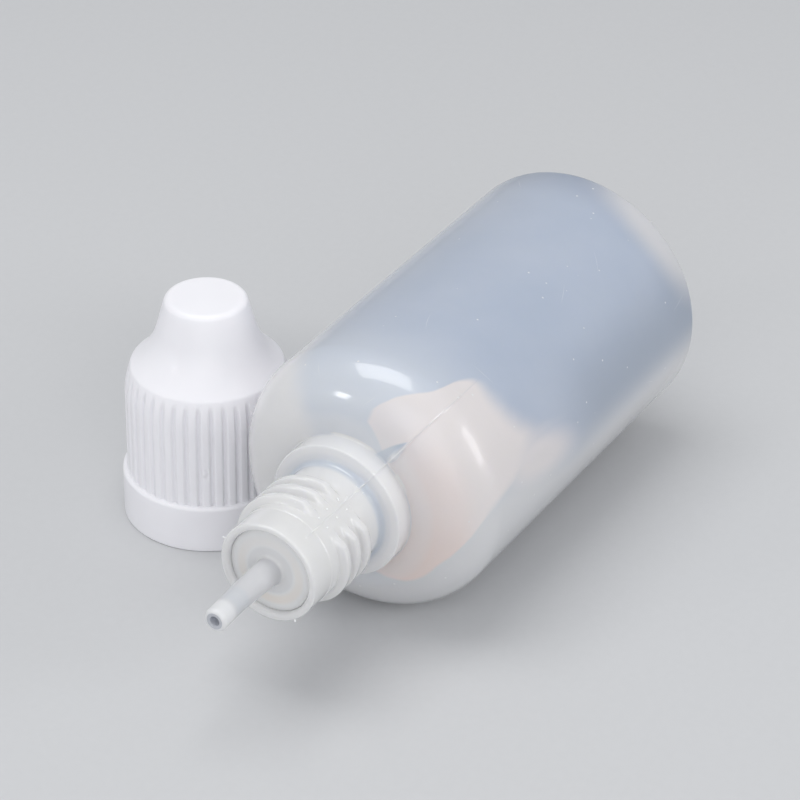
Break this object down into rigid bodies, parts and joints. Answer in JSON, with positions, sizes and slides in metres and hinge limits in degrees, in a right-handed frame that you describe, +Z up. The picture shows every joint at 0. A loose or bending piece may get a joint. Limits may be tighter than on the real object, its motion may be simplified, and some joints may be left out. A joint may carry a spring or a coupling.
{
  "type": "eye drop bottle",
  "caption": "Squeezable dropper bottle lying on its side with a snap-in dropper tip and a press-and-turn cap standing beside it.",
  "frame": {"origin": "middle of the outline of the bottle and cap seen from above, on the surface that they rest on", "axes": "+X along the lying bottle from its base to its dropper tip, +Z up, the cap stands on the -Y side of the bottle"},
  "size_m": [0.0834, 0.0536, 0.033],
  "materials": {
    "bottle_plastic": "translucent natural low-density polyethylene, smooth blow-moulded gloss",
    "tip_plastic": "translucent natural low-density polyethylene, satin",
    "cap_white": "opaque white polypropylene, satin gloss",
    "inner_cap_white": "opaque off-white polypropylene, matte"
  },
  "bodies": {
    "bottle": {"bottle": "bottle_plastic"},
    "dropper_tip": {"dropper_tip": "tip_plastic"},
    "outer_cap": {"outer_cap": "cap_white"},
    "inner_cap": {"inner_cap": "inner_cap_white"}
  },
  "joints": [
    {"name": "tip_pull", "type": "slide", "parent": "bottle", "child": "dropper_tip", "axis": [1, 0, 0], "range_m": [0, 0.012]},
    {"name": "cap_away", "type": "slide", "parent": "bottle", "child": "outer_cap", "axis": [0, -1, 0], "range_m": [0, 0.05]},
    {"name": "cap_press", "type": "slide", "parent": "outer_cap", "child": "inner_cap", "axis": [0, 0, 1], "range_m": [0, 0.0008], "stiffness_N_per_m": 1000}
  ]
}
